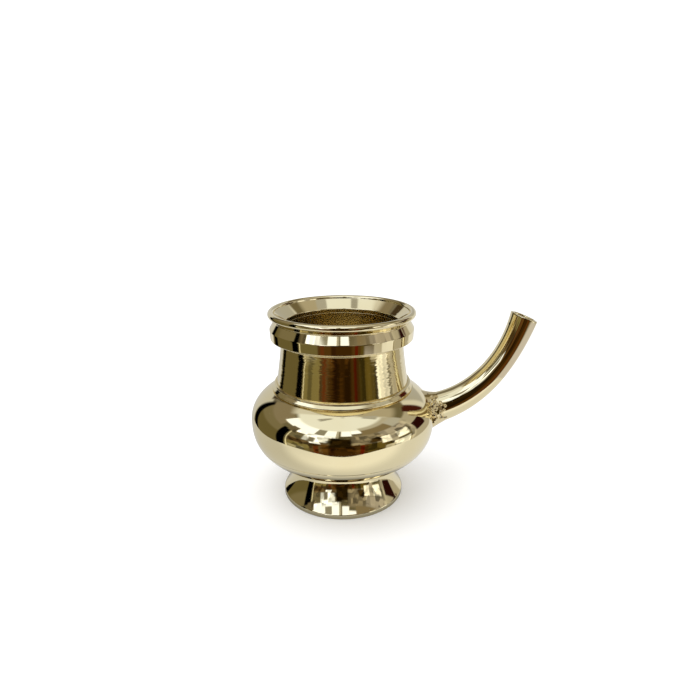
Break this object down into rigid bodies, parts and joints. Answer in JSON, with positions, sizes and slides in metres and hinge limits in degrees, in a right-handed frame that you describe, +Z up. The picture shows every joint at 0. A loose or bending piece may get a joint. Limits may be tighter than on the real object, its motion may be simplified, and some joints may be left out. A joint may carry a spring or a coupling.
{
  "type": "spouted water pot",
  "caption": "Round-bellied brass water pot on a flared foot, with a short wide neck, moulded collar and lip, and a curved side spout for pouring a thin stream.",
  "frame": {"origin": "on the floor, under the middle of the pot's outer box, spout included", "axes": "+Z up along the pot's turning axis, +X towards the spout, so the spout lies in the XZ plane"},
  "size_m": [0.1456, 0.095, 0.1],
  "materials": {
    "polished_brass": "mirror polished, pale gold",
    "turned_brass": "polished over fine turning lines",
    "braze_filler": "lumpy filler metal, part polished"
  },
  "bodies": {
    "root": {"foot": "polished_brass", "foot_braze": "braze_filler", "lower_bowl": "polished_brass", "belly_braze": "braze_filler", "shoulder": "polished_brass", "neck_base_ring": "turned_brass", "neck": "turned_brass", "neck_braze": "braze_filler", "collar_band": "polished_brass", "lip_ring": "polished_brass", "spout_tube": "polished_brass", "spout_braze": "braze_filler"}
  },
  "joints": []
}
